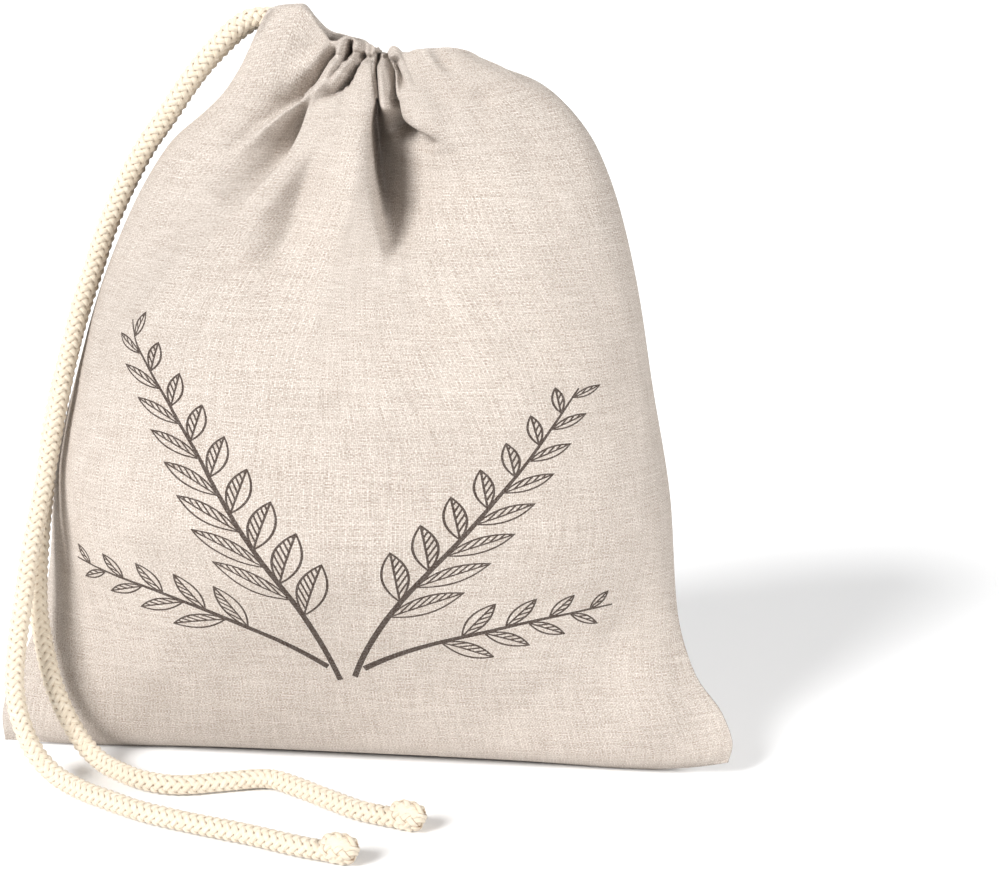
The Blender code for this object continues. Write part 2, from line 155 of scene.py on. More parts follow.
# A row for each fold.
#   line          its course down the panel, in x and z
#   depth         how far the cloth goes in (negative) or out at each point of the line
#   left, right   how wide it is on either side, at even steps from the line's top to its foot
#   crisp         how crisp its left and its right side are: 1 a crease, 2 soft, 3 a wall
#   lean          how far it leans over to its right, as a share of its depth
Fold = namedtuple("Fold", "name line depth left right crisp lean")
FRONT_FOLDS = (
    Fold("tab_dent",
         ((-.0140, .2735), (-.0195, .2685), (-.0260, .2630), (-.0330, .2580)),
         (-.0004, -.0026, -.0026, 0.), (.005, .008), (.003, .005), (2, 2), 0.),
    Fold("tab_valley",
         ((-.0090, .2697), (-.0117, .2662), (-.0137, .2630), (-.0158, .2598), (-.0189, .2570),
          (-.0221, .2541), (-.0274, .2509), (-.0326, .2471), (-.0393, .2428), (-.0444, .2386),
          (-.0493, .2351)),
         (-.0060, -.0105, -.0130, -.0135, -.0125, -.0120, -.0105, -.0090, -.0066, -.0036, 0.),
         (.0014, .0022, .0050, .0080, .0100), (.0014, .0018, .0026), (1.5, 3), -.15),
    Fold("finger_1",
         ((-.0048, .2683), (-.0072, .2655), (-.0096, .2620), (-.0119, .2584), (-.0144, .2556),
          (-.0172, .2531), (-.0203, .2510), (-.0256, .2478), (-.0308, .2443), (-.0360, .2404),
          (-.0412, .2366), (-.0461, .2331)),
         (.0016, .0036, .0042, .0040, .0040, .0044, .0046, .0044, .0036, .0026, .0014, 0.),
         (.0016, .0020, .0030), (.0016, .0030, .0030), (2, 2), 0.),
    Fold("finger_gap",
         ((-.0044, .2676), (-.0057, .2648), (-.0070, .2627), (-.0084, .2606), (-.0097, .2588)),
         (-.0060, -.0055, -.0042, -.0022, 0.), (.0013, .0013), (.0013, .0013), (2, 2), 0.),
    Fold("finger_2",
         ((-.0011, .2691), (-.0031, .2652), (-.0052, .2623), (-.0068, .2595), (-.0085, .2570),
          (-.0099, .2549)),
         (.0016, .0040, .0044, .0040, .0026, 0.), (.0018, .0026), (.0018, .0026), (2, 2), 0.),
    Fold("finger_fold",
         ((.0012, .2676), (-.0008, .2638), (-.0018, .2613), (-.0031, .2592), (-.0052, .2574),
          (-.0077, .2556), (-.0109, .2544), (-.0142, .2535)),
         (-.0050, -.0085, -.0100, -.0100, -.0082, -.0060, -.0034, 0.),
         (.0013, .0030), (.0014, .0016), (1.6, 3), -.15),
    Fold("pillar_left",
         ((-.0165, .2545), (-.0171, .2524), (-.0191, .2503), (-.0204, .2475), (-.0219, .2437),
          (-.0241, .2395), (-.0267, .2354), (-.0303, .2312), (-.0359, .2263), (-.0422, .2206),
          (-.0486, .2149)),
         (0., -.0030, -.0070, -.0100, -.0130, -.0150, -.0155, -.0145, -.0110, -.0062, 0.),
         (.0014, .0030, .0065, .0120, .0180), (.0014, .0018, .0030, .0045), (1.6, 3), -.12),
    Fold("pillar_dip",
         ((-.0106, .2350), (-.0143, .2288), (-.0166, .2226), (-.0190, .2157), (-.0217, .2077),
          (-.0255, .1983), (-.0303, .1896), (-.0357, .1825)),
         (0., -.0036, -.0066, -.0084, -.0098, -.0086, -.0044, 0.),
         (.004, .007, .010), (.007, .018, .018), (2, 2), 0.),
    Fold("pillar",
         ((.0046, .2660), (.0046, .2610), (.0039, .2540), (.0030, .2453), (.0020, .2367),
          (.0018, .2281), (.0018, .2194), (.0032, .2091), (.0060, .1988)),
         (.0024, .0036, .0050, .0064, .0078, .0082, .0070, .0040, 0.),
         (.0025, .008, .014, .017), (.0028, .0046, .0070, .0090), (2, 2.5), .05),
    Fold("deep_valley",
         ((.0071, .2677), (.0082, .2621), (.0096, .2565), (.0102, .2523), (.0098, .2481),
          (.0099, .2440), (.0110, .2385), (.0124, .2316), (.0138, .2248), (.0158, .2162),
          (.0182, .2069), (.0210, .1960)),
         (-.0070, -.0110, -.0150, -.0190, -.0250, -.0300, -.0340, -.0350, -.0330, -.0280, -.0170, 0.),
         (.0013, .0014, .0018, .0030, .0038, .0046), (.0013, .0014, .0022, .0060, .0160, .0205, .0180),
         (3, 1.4), .20),
    Fold("narrow_fold",
         ((.0086, .2670), (.0100, .2621), (.0112, .2565), (.0120, .2516), (.0131, .2471),
          (.0142, .2427)),
         (.0036, .0084, .0120, .0130, .0090, 0.), (.0013, .0018), (.0013, .0024), (2, 2), 0.),
    Fold("hook_valley",
         ((.0107, .2670), (.0122, .2621), (.0137, .2558), (.0148, .2509), (.0158, .2468),
          (.0175, .2437), (.0203, .2417), (.0240, .2400), (.0290, .2377), (.0325, .2360)),
         (-.0060, -.0105, -.0130, -.0155, -.0190, -.0210, -.0180, -.0120, -.0060, 0.),
         (.0013, .0018, .0034, .0040), (.0014, .0016, .0020), (2, 3), -.14),
    Fold("second_fold",
         ((.0122, .2672), (.0137, .2621), (.0152, .2565), (.0161, .2523)),
         (.0040, .0050, .0030, 0.), (.0014, .0016), (.0014, .0018), (2, 2), 0.),
    Fold("notch",
         ((.0140, .2650), (.0155, .2621), (.0170, .2593), (.0187, .2559)),
         (-.0030, -.0080, -.0060, 0.), (.0018, .0026), (.0013, .0016), (2, 3), -.1),
    Fold("cord_line",
         ((-.0110, .2692), (-.0090, .2685), (-.0055, .2672), (-.0012, .2688), (.0016, .2672),
          (.0060, .2666), (.0100, .2660), (.0140, .2664), (.0165, .2676)),
         (0., -.0030, -.0046, -.0040, -.0046, -.0040, -.0046, -.0040, 0.),
         (.0013, .0013), (.0012, .0012), (2, 2), 0.),
    Fold("rim_lump_1",
         ((-.0068, .2740), (-.0072, .2690)),
         (.0026, .0014), (.0018, .0018), (.0016, .0016), (2, 2), 0.),
    Fold("rim_hole",
         ((-.0028, .2738), (-.0030, .2722), (-.0034, .2700), (-.0042, .2672)),
         (0., -.0090, -.0130, -.0050), (.0014, .0014), (.0014, .0014), (3, 3), 0.),
    Fold("rim_crease_1",
         ((.0023, .2730), (.0021, .2680)),
         (-.0040, -.0030), (.0012, .0012), (.0012, .0012), (2, 2), 0.),
    Fold("rim_crease_2",
         ((.0046, .2720), (.0047, .2675)),
         (-.0034, -.0034), (.0012, .0012), (.0012, .0012), (2, 2), 0.),
    Fold("rim_crease_3",
         ((.0074, .2712), (.0076, .2670)),
         (-.0070, -.0060), (.0012, .0012), (.0012, .0012), (2, 2), 0.),
    Fold("rim_crease_4",
         ((.0099, .2700), (.0104, .2662)),
         (-.0070, -.0050), (.0013, .0013), (.0013, .0013), (2, 2), 0.),
    Fold("rim_knob",
         ((.0140, .2720), (.0140, .2685)),
         (.0010, .0040), (.0022, .0022), (.0024, .0024), (2, 2), 0.),
    Fold("right_rise",
         ((.0141, .2760), (.0150, .2677), (.0176, .2593), (.0215, .2506), (.0270, .2421),
          (.0325, .2336), (.0375, .2233)),
         (.0015, .0020, .0034, .0044, .0046, .0030, 0.),
         (.0025, .006), (.005, .016), (2, 2), -.1),
    Fold("hump_crease",
         ((.0273, .2720), (.0323, .2658), (.0380, .2612)),
         (-.0012, -.0036, 0.), (.0018, .0022), (.0022, .0026), (2, 2), .2),
    Fold("side_crease",
         ((.0430, .2570), (.0480, .2520), (.0550, .2480)),
         (0., -.0024, 0.), (.004, .004), (.0025, .003), (2, 2), 0.),
    Fold("right_ear",
         ((.1080, .0600), (.1100, .0420), (.1140, .0260), (.1200, .0140)),
         (0., .0040, .0050, .0014), (.012, .012), (.010, .014), (2, 2), 0.),
)
BACK_FOLDS = (
    Fold("valley_1",
         ((-.0070, .2770), (-.0160, .2560), (-.0310, .2360), (-.0510, .2120)),
         (-.0030, -.0080, -.0070, 0.), (.003, .007), (.003, .010), (3, 2), .15),
    Fold("ridge_1",
         ((-.0020, .2770), (-.0070, .2540), (-.0180, .2300), (-.0300, .2020)),
         (.0020, .0050, .0054, 0.), (.0025, .009), (.0025, .008), (2, 2), 0.),
    Fold("valley_2",
         ((.0030, .2770), (.0010, .2520), (-.0060, .2280), (-.0120, .1960)),
         (-.0025, -.0110, -.0150, 0.), (.002, .012), (.002, .006), (2, 3), -.12),
    Fold("ridge_2",
         ((.0070, .2770), (.0090, .2520), (.0100, .2250), (.0090, .1960)),
         (.0020, .0050, .0060, 0.), (.0025, .008), (.0025, .009), (2, 2), 0.),
    Fold("valley_3",
         ((.0120, .2770), (.0180, .2540), (.0270, .2320), (.0380, .2050)),
         (-.0025, -.0095, -.0120, 0.), (.0025, .006), (.0025, .012), (3, 2), .12),
    Fold("ridge_3",
         ((.0160, .2770), (.0250, .2560), (.0390, .2360), (.0530, .2140)),
         (.0015, .0042, .0040, 0.), (.0025, .008), (.003, .009), (2, 2), 0.),
    Fold("valley_4",
         ((.0210, .2770), (.0330, .2600), (.0490, .2440), (.0670, .2260)),
         (-.0020, -.0056, -.0042, 0.), (.0025, .006), (.003, .008), (2, 2), 0.),
)
FOLD_STEPS = 5            # straight steps for each stretch of a fold's line

# Faces of each panel: its columns lie evenly along the cloth at COLUMN_LEVELS, most of
# them where it folds most, and it has so many rows up to each s.
FRONT_COLUMNS = 280
BACK_COLUMNS = 160
COLUMN_LEVELS = (.30, .76, .80, .84, .87, .90, .92, .94, .96, .98, 1.)
COLUMN_SAMPLES = 2001     # places along each of these levels at which the cloth is measured
WEAVE_EVEN = (.45, .80)   # between these levels the weave comes to follow the columns
Spread = namedtuple("Spread", "count to")
FRONT_ROWS = (Spread(6, .05), Spread(14, .25), Spread(20, .55), Spread(22, .72), Spread(22, .82),
              Spread(78, 1.))
BACK_ROWS = (Spread(8, .05), Spread(16, .25), Spread(20, .55), Spread(20, .72), Spread(44, 1.))
ROLL_STEPS = 5            # rows of faces round the fold at the rim
HEM_STEPS = 8             # rows of faces down the turned-in hem

# The slit at the top of the left side seam that the cord comes out of.
SLIT_HALF_WIDTH = .0075
SLIT_FROM = .955          # level at which it opens
SLIT_REACH = .035         # how far it opens along the panel, in u

# The hem's tunnel beside the slit, wide enough for the cord's end and shut beyond it.
TUNNEL_FULL = -.0270      # x up to which it is as wide as the cord needs
TUNNEL_FADE = .0160       # how far past that it takes to fall flat
TUNNEL_Y = .0029          # where the front hem's tunnel meets the back one's, at the slit
TUNNEL_SLANT = .12        # how this line runs back towards +x
TUNNEL_PART = .0005       # half the room between the two
TUNNEL_DEPTH = .52        # its depth at the slit, as a share of the hem's
TUNNEL_SET_BACK = .0022   # how far its lower edge stands back from the slit
TUNNEL_HELD = .6          # share of its depth down which it stays open

# Soft unevenness of the filled cloth: a few long waves of each size, seeded.
Wave = namedtuple("Wave", "length height count")
WAVES = (Wave(.075, .0009, 5), Wave(.038, .0005, 7), Wave(.020, .0002, 9))
WAVE_SEED = 7
WAVE_SEAM_FADE = .10      # how far from a side seam, in u, the waves reach their height
WAVE_FROM = .06           # level from which they rise
WAVE_RISE = .12           # how far above that they reach their height


# ================================================================ tables of the cord
CORD_D = .0078
CORD_STEP = .0008         # from one ring of faces to the next
BRAID_PITCH = .0132       # one full turn of a strand
BRAID_STRANDS = 4         # strands that turn each way
STRAND_THICK = .00085     # half the thickness of a strand
STRAND_WIDE = .00127      # half its width
STRAND_SWAY = .00042      # how far it moves out and in where strands cross
STRAND_SIDES = 10
# The routes: a tail's middle line from the slit, down the left side and over the surface.
FRONT_ROUTE = (
    (-.0395, -.0020, .2812), (-.0448, -.0026, .2792), (-.0500, -.0030, .2750), (-.0582, -.0030, .2666),
    (-.0661, -.0030, .2570), (-.0746, -.0030, .2451), (-.0824, -.0040, .2343), (-.0891, -.0050, .2227),
    (-.0939, -.0060, .2129), (-.0987, -.0070, .2020), (-.1033, -.0090, .1881), (-.1078, -.0120, .1742),
    (-.1110, -.0160, .1595), (-.1136, -.0200, .1455), (-.1166, -.0240, .1284), (-.1198, -.0300, .1067),
    (-.1234, -.0360, .0854), (-.1254, -.0430, .0650), (-.1264, -.0490, .0499), (-.1262, -.0545, .0369),
    (-.1232, -.0590, .0250), (-.1168, -.0630, .0130), (-.1075, -.0675, .0060), (-.0960, -.0750, .0042),
    (-.0859, -.0818, .0042), (-.0661, -.0932, .0042), (-.0426, -.1020, .0042), (-.0254, -.1075, .0042),
    (-.0057, -.1152, .0042), (.0102, -.1196, .0042),
)
BACK_ROUTE = (
    (-.0402, .0078, .2806), (-.0448, .0070, .2784), (-.0505, .0062, .2742), (-.0598, .0060, .2652),
    (-.0680, .0060, .2555), (-.0766, .0060, .2436), (-.0846, .0052, .2327), (-.0914, .0044, .2209),
    (-.0964, .0036, .2111), (-.1013, .0028, .2000), (-.1060, .0010, .1860), (-.1108, -.0012, .1719),
    (-.1147, -.0052, .1570), (-.1178, -.0100, .1429), (-.1208, -.0150, .1256), (-.1228, -.0195, .1042),
    (-.1240, -.0255, .0824), (-.1237, -.0312, .0613), (-.1212, -.0345, .0466), (-.1170, -.0380, .0315),
    (-.1110, -.0410, .0190), (-.1040, -.0445, .0100), (-.0955, -.0500, .0052), (-.0860, -.0570, .0042),
    (-.0740, -.0645, .0042), (-.0600, -.0670, .0042), (-.0428, -.0610, .0042), (-.0290, -.0570, .0042),
    (-.0168, -.0635, .0042), (-.0021, -.0740, .0042), (.0113, -.0828, .0042), (.0287, -.0888, .0042),
)
INSIDE_HEM = .008         # how far each tail is carried back into the hem's tunnel
END_PLUG = (.0026, .0026, .0026)     # half axes of the egg that closes a tail's inner end
KNOT_LENGTH = .0150
KNOT_WIDTH = .0118
KNOT_CORE = (.0066, .0050, .0050)    # half axes of the egg that fills a knot's hollow
KNOT_CORD_D = .0070       # the cord where the knot squeezes it
KNOT_STEPS = 120          # rings of faces round the knot's loop
EGG_ABOUT = .8            # the angle round a strand whose tone an egg takes, clear of the painted shade


# ================================================================ curves through tables
def through(places, values, at):
    """The values at any place along a table, on a curve that never overshoots its rows."""
    places = np.asarray(places, float)
    values = np.asarray(values, float)
    gap_shade = np.diff(places)
    rise = np.diff(values) / gap_shade
    slope = np.concatenate((rise[:1], np.zeros(len(rise) - 1), rise[-1:]))
    for i in range(1, len(rise)):
        if rise[i - 1] * rise[i] > 0:
            before = 2 * gap_shade[i] + gap_shade[i - 1]
            after = gap_shade[i] + 2 * gap_shade[i - 1]
            slope[i] = (before + after) / (before / rise[i - 1] + after / rise[i])
    i = np.clip(np.searchsorted(places, at, side="right") - 1, 0, len(gap_shade) - 1)
    t = (at - places[i]) / gap_shade[i]
    start = values[i] * (1 + 2 * t) * (1 - t) ** 2 + slope[i] * gap_shade[i] * t * (1 - t) ** 2
    end = values[i + 1] * t * t * (3 - 2 * t) - slope[i + 1] * gap_shade[i] * t * t * (1 - t)
    return start + end


def smooth_line(points, steps):
    """A smooth curve through the points, as short straight steps."""
    points = np.asarray(points, float)
    padded = np.vstack((2 * points[0] - points[1], points, 2 * points[-1] - points[-2]))
    line = []
    for a, b, c, d in zip(padded, padded[1:], padded[2:], padded[3:]):
        for t in np.arange(steps) / steps:
            line.append(b + t * (c - a) / 2 + t * t * (a - 2.5 * b + 2 * c - d / 2)
                        + t ** 3 * (1.5 * (b - c) + (d - a) / 2))
    line.append(points[-1])
    return np.array(line)


def lengths_along(line):
    return np.concatenate(([0.], np.cumsum(np.linalg.norm(np.diff(line, axis=0), axis=1))))


def evenly(line, pitch):
    """Points at even distances along a line, its two ends included."""
    along = lengths_along(line)
    marks = np.linspace(0., along[-1], max(2, round(along[-1] / pitch) + 1))
    return np.column_stack([np.interp(marks, along, line[:, k]) for k in range(3)])


def ease(value):
    value = np.clip(value, 0., 1.)
    return value * value * (3 - 2 * value)


def spread_marks(spreads):
    """The places of the columns or rows that a table of spreads gives."""
    marks = [0.]
    for spread in spreads:
        marks += list(np.linspace(marks[-1], spread.to, spread.count + 1)[1:])
    return np.array(marks)


# ================================================================ the bag's surface
def fold_move(x, z, fold):
    """How far one fold moves each point of a panel: in x, out from the panel, and in z."""
    line = smooth_line(fold.line, FOLD_STEPS)
    marks = np.linspace(0., len(fold.depth) - 1., len(line))
    depth = through(np.arange(len(fold.depth)), fold.depth, marks)
    along = np.gradient(line, axis=0)
    over = np.column_stack((-along[:, 1], along[:, 0])) / np.linalg.norm(along, axis=1)[:, None]
    nearest = np.full(x.shape, np.inf)
    move = np.zeros(x.shape + (3,))
    for k, (a, b, da, db) in enumerate(zip(line, line[1:], depth, depth[1:])):
        run = b - a
        t = np.clip(((x - a[0]) * run[0] + (z - a[1]) * run[1]) / (run @ run), 0., 1.)
        off_x = x - a[0] - t * run[0]
        off_z = z - a[1] - t * run[1]
        distance = np.hypot(off_x, off_z)
        is_right = run[0] * off_z - run[1] * off_x > 0
        down = (k + t) / (len(line) - 1)
        left = np.interp(down, np.linspace(0., 1., len(fold.left)), fold.left)
        right = np.interp(down, np.linspace(0., 1., len(fold.right)), fold.right)
        power = np.where(is_right, fold.crisp[1], fold.crisp[0])
        here = (da + t * (db - da)) * np.exp(-(distance / np.where(is_right, right, left)) ** power)
        lean_x, lean_z = (fold.lean * (over[k, axis] + t * (over[k + 1, axis] - over[k, axis]))
                          for axis in (0, 1))
        closer = distance < nearest
        move[closer] = np.stack((here * lean_x, here, here * lean_z), axis=-1)[closer]
        nearest[closer] = distance[closer]
    return move


def unevenness(u, s, side):
    """Long soft waves in the cloth, none at the seams and the base."""
    dice = np.random.default_rng(WAVE_SEED + side)
    height = np.zeros(u.shape)
    for wave in WAVES:
        for _ in range(wave.count):
            turn, phase = dice.uniform(0., 2 * pi, 2)
            along = u * PANEL_WIDTH * np.cos(turn) + s * PANEL_HEIGHT * np.sin(turn)
            height += wave.height / np.sqrt(wave.count) * np.sin(2 * pi * along / wave.length + phase)
    fade = ease(np.minimum(u, 1 - u) / WAVE_SEAM_FADE) * ease((s - WAVE_FROM) / WAVE_RISE)
    return height * fade


def panel_points(u, s, side):
    """Points of one panel: u runs from the left seam to the right, s up from the bottom seam.

    side is -1 for the front panel and 1 for the back one.
    """
    levels = [level.s for level in LEVELS]
    at = {field: through(levels, [getattr(level, field) for level in LEVELS], s)
          for field in Level._fields[2:]}
    mouth = LEVELS[-1]
    rim = FRONT_MOUTH if side < 0 else BACK_MOUTH
    mouth_u = [row.u for row in rim]
    mouth_x = through(mouth_u, [row.x for row in rim], u)
    mouth_z = through(mouth_u, [row.z for row in rim], u)

    even = 2 * u - 1
    across = even + (-np.cos(pi * u) - even) * at["round"]
    gathered = (2 * mouth_x - mouth.left - mouth.right) / (mouth.right - mouth.left)
    mouth_z_seams = (mouth.z_left + mouth.z_right + (mouth.z_right - mouth.z_left) * gathered) / 2
    across += (gathered - across) * ease((s - GATHER_FROM) / (1 - GATHER_FROM))
    across = np.clip(across, -1., 1.)

    middle = at["front"] if side < 0 else at["back"]
    z_middle = at["z_front"] if side < 0 else at["z_back"]
    x = (at["left"] + at["right"]) / 2 + (at["right"] - at["left"]) / 2 * across
    outline = (1 - np.abs(across) ** at["power"]) ** at["edge"]
    puff = SEAM_PUFF * np.sqrt(1 - np.abs(even) ** PUFF_POWER) * ease(s / PUFF_BY)
    slit = SLIT_HALF_WIDTH * np.exp(-(u / SLIT_REACH) ** 2) * ease((s - SLIT_FROM) / (1 - SLIT_FROM))
    y = at["seam"] + (middle - at["seam"]) * outline + side * (puff + slit)

    z_seams = (at["z_left"] + at["z_right"]) / 2 + (at["z_right"] - at["z_left"]) / 2 * across
    rise = np.clip((np.abs(across) - at["level"]) / (1 - at["level"]), 0., 1.) ** 2
    z = z_middle + (z_seams - z_middle) * rise
    plain = mouth.z_front + (mouth_z_seams - mouth.z_front) * np.abs(gathered) ** 2
    z += (mouth_z - plain) * ease((s - RIM_FROM) / (1 - RIM_FROM))

    folds = FRONT_FOLDS if side < 0 else BACK_FOLDS
    points = np.stack((x, y + side * unevenness(u, s, side), z), axis=-1)
    return points + sum(fold_move(x, z, fold) for fold in folds) * (1., side, 1.)


# ================================================================ meshes
def grid_object(name, points, coords, material):
    """A sheet of quads over a grid of points."""
    rows, columns = points.shape[:2]
    index = np.arange(rows * columns).reshape(rows, columns)
    faces = np.stack((index[:-1, :-1], index[:-1, 1:], index[1:, 1:], index[1:, :-1]), axis=-1)
    return mesh_object(name, points.reshape(-1, 3), faces.reshape(-1, 4), coords.reshape(-1, 3),
                       material)


def mesh_object(name, points, faces, coords, material):
    """A smooth mesh; coords, a place on the flat cloth or along the cord, is kept for its material."""
    data = bpy.data.meshes.new(name)
    data.from_pydata(points.tolist(), [], [list(face) for face in faces])
    data.validate()
    data.attributes.new("cloth", "FLOAT_VECTOR", "POINT").data.foreach_set("vector", coords.ravel())
    data.materials.append(material)
    data.shade_smooth()
    piece = bpy.data.objects.new(name, data)
    bpy.context.scene.collection.objects.link(piece)
    return piece


def even_columns(count, side):
    """Places u of columns that lie evenly along the cloth, its folds included."""
    u = np.linspace(0., 1., COLUMN_SAMPLES)
    along = sum(lengths_along(panel_points(u, np.full_like(u, s), side)) for s in COLUMN_LEVELS)
    return np.interp(np.linspace(0., along[-1], count + 1), along, u)


def make_panel(name, side, columns, rows, material):
    """One panel with its hem folded over at the rim and turned down inside.

    Beside the slit the hem stands off the panel, which leaves a tunnel for the cord.
    """
    u = even_columns(columns, side)
    outer_s = spread_marks(rows)
    points = panel_points(*np.meshgrid(u, outer_s), side)
    from_seam = ease(np.minimum(u, 1 - u) / HEM_PINCH)
    inward = -side * HEM_ROLL * from_seam
    rim = points[-1]
    tunnel = ease((TUNNEL_FULL + TUNNEL_FADE - rim[:, 0]) / TUNNEL_FADE)
    meeting = TUNNEL_Y + TUNNEL_SLANT * (rim[:, 0] - rim[0, 0]) + side * TUNNEL_PART
    over = 2 * inward + tunnel * (meeting - rim[:, 1] - 2 * inward)
    folded = []
    for k in range(1, ROLL_STEPS):
        turn = pi * k / ROLL_STEPS
        ring = rim.copy()
        ring[:, 1] += over * (1 - cos(turn)) / 2
        ring[:, 2] += HEM_ROLL * sin(turn)
        folded.append(ring)
    down = np.linspace(0., 1., HEM_STEPS + 1)[:, None]
    depth = HEM_DEPTH * np.maximum(from_seam, TUNNEL_DEPTH * tunnel)
    hem = panel_points(u + 0. * down, 1 - down * depth / PANEL_HEIGHT, side)
    hem[..., 1] += 2 * inward
    held = 1 - ease((down - TUNNEL_HELD) / (1 - TUNNEL_HELD))
    hem[..., 1] += tunnel * held * (meeting - hem[..., 1])
    hem[..., 0] += TUNNEL_SET_BACK * tunnel * down
    points = np.concatenate((points, np.array(folded), hem))

    # the weave's own place on the flat cloth: x across the panel, y up it
    roll = HEM_ROLL * pi
    rolled = PANEL_HEIGHT + np.linspace(0., roll, ROLL_STEPS + 1)[1:-1]
    hem_y = PANEL_HEIGHT + roll + down[:, 0] * HEM_DEPTH
    flat_y = np.concatenate((outer_s * PANEL_HEIGHT, rolled, hem_y))
    gather = ease((flat_y / PANEL_HEIGHT - WEAVE_EVEN[0]) / (WEAVE_EVEN[1] - WEAVE_EVEN[0]))[:, None]
    flat_x = PANEL_WIDTH * (u + (np.linspace(0., 1., len(u)) - u) * gather)
    flat_side = np.full(flat_x.shape, float(side))
    coords = np.stack((flat_x, flat_y[:, None] + 0. * flat_x, flat_side), axis=-1)
    if side > 0:
        points, coords = points[:, ::-1], coords[:, ::-1]
    panel = grid_object(name, points, coords, material)
    solidify = panel.modifiers.new("cloth", "SOLIDIFY")
    solidify.thickness = CLOTH
    solidify.offset = -1
    return panel


def frames_along(path):
    """Unit tangents of a path, and two directions across it that turn as little as possible."""
    tangent = np.gradient(path, axis=0)
    tangent /= np.linalg.norm(tangent, axis=1)[:, None]
    normal = np.zeros_like(path)
    start = np.cross(tangent[0], (0., 1., 0.))
    for i, t in enumerate(tangent):
        start = start - (start @ t) * t
        start = start / np.linalg.norm(start)
        normal[i] = start
    return tangent, normal, np.cross(tangent, normal)


def egg(half_axes, rings=16, sides=24):
    """Points, faces and cord coordinates of an egg that fills a knot or closes a cord's end."""
    down, turn = np.meshgrid(np.linspace(0., pi, rings + 1), np.arange(sides) * 2 * pi / sides,
                             indexing="ij")
    ball = np.stack((np.sin(down) * np.cos(turn), np.sin(down) * np.sin(turn), np.cos(down)), axis=-1)
    index = np.arange(ball.shape[0] * sides).reshape(-1, sides)
    index = np.column_stack((index, index[:, :1]))
    faces = np.stack((index[:-1, :-1], index[1:, :-1], index[1:, 1:], index[:-1, 1:]), axis=-1)
    coords = np.stack((down * half_axes[0], 0. * down + EGG_ABOUT, 0. * down), axis=-1)
    return (ball * half_axes).reshape(-1, 3), faces.reshape(-1, 4), coords.reshape(-1, 3)


def make_braid(name, path, diameter, material, looped=False, core=None):
    """A round braid along a path: strands turn both ways, each over one and under one.

    core is the points, faces and coordinates of an egg that becomes part of the mesh.
    """
    scale = diameter / CORD_D
    half_thick = STRAND_THICK * scale
    half_wide = STRAND_WIDE * scale
    sway = STRAND_SWAY * scale
    middle = diameter / 2 - half_thick - sway
    pitch = BRAID_PITCH * scale
    tangent, normal, side = frames_along(path)
    along = lengths_along(path)
    if looped:
        pitch = along[-1] / max(1, round(along[-1] / pitch))
    slope = np.arctan2(2 * pi * middle, pitch)
    round_strand = np.arange(STRAND_SIDES) * 2 * pi / STRAND_SIDES
    points, faces, coords = [], [], []
    count = 0
    for way in (1, -1):
        for k in range(BRAID_STRANDS):
            turn = way * 2 * pi * along / pitch + 2 * pi * k / BRAID_STRANDS
            out = np.cos(turn)[:, None] * normal + np.sin(turn)[:, None] * side
            about = -np.sin(turn)[:, None] * normal + np.cos(turn)[:, None] * side
            reach = middle + way * sway * np.cos(2 * BRAID_STRANDS * pi * along / pitch)
            centre = path + reach[:, None] * out
            across = np.cos(slope) * about - way * np.sin(slope) * tangent
            ring = (centre[:, None] + half_thick * np.sin(round_strand)[None, :, None] * out[:, None]
                    + half_wide * np.cos(round_strand)[None, :, None] * across[:, None])
            index = count + np.arange(ring.shape[0] * STRAND_SIDES).reshape(-1, STRAND_SIDES)
            index = np.column_stack((index, index[:, :1]))
            quads = np.stack((index[:-1, :-1], index[:-1, 1:], index[1:, 1:], index[1:, :-1]),
                             axis=-1)
            faces += quads.reshape(-1, 4)[:, ::way].tolist()
            if not looped:
                faces.append(index[0, :-1][::-way].tolist())
                faces.append(index[-1, :-1][::way].tolist())
            points.append(ring.reshape(-1, 3))
            strand = np.zeros(ring.shape)
            strand[..., 0] = along[:, None] / np.cos(slope)
            strand[..., 1] = round_strand
            strand[..., 2] = k + way * BRAID_STRANDS
            coords.append(strand.reshape(-1, 3))
            count += ring.shape[0] * STRAND_SIDES
    if core:
        points.append(core[0])
        faces += (core[1] + count).tolist()
        coords.append(core[2])
    return mesh_object(name, np.concatenate(points), faces, np.concatenate(coords), material)


def make_tail(name, route, material):
    """One tail of the drawcord, carried a little way back into the hem that it comes out of."""
    first, second = np.array(route[0]), np.array(route[1])
    back = (first - second) / np.linalg.norm(first - second)
    back[2] = 0.
    line = smooth_line(np.vstack((first + back * INSIDE_HEM, route)), FOLD_STEPS)
    path = evenly(line, CORD_STEP)
    plug_points, plug_faces, plug_coords = egg(END_PLUG)
    plug = (plug_points + path[0], plug_faces, plug_coords)
    return make_braid(name, path, CORD_D, material, core=plug), path


def make_knot(name, route, material):
    """The cord drawn into a tight round knot at the end of a tail."""
    end = np.array(route[-1])
    run = end - np.array(route[-2])
    heading = np.arctan2(run[1], run[0])
    t = np.linspace(0., 2 * pi, KNOT_STEPS)
    loop = np.column_stack((np.sin(2 * t), 3 * np.cos(t) + np.cos(3 * t), 3 * np.sin(t) - np.sin(3 * t)))
    loop /= np.abs(loop).max(axis=0)
    loop *= (np.array((KNOT_LENGTH, KNOT_WIDTH, KNOT_WIDTH)) - KNOT_CORD_D) / 2
    core_points, core_faces, core_coords = egg(KNOT_CORE)
    turn = np.array(((cos(heading), sin(heading), 0.), (-sin(heading), cos(heading), 0.), (0., 0., 1.)))
    middle = (end[0], end[1], KNOT_WIDTH / 2)
    core = (core_points @ turn + middle, core_faces, core_coords)
    return make_braid(name, loop @ turn + middle, KNOT_CORD_D, material, looped=True, core=core)


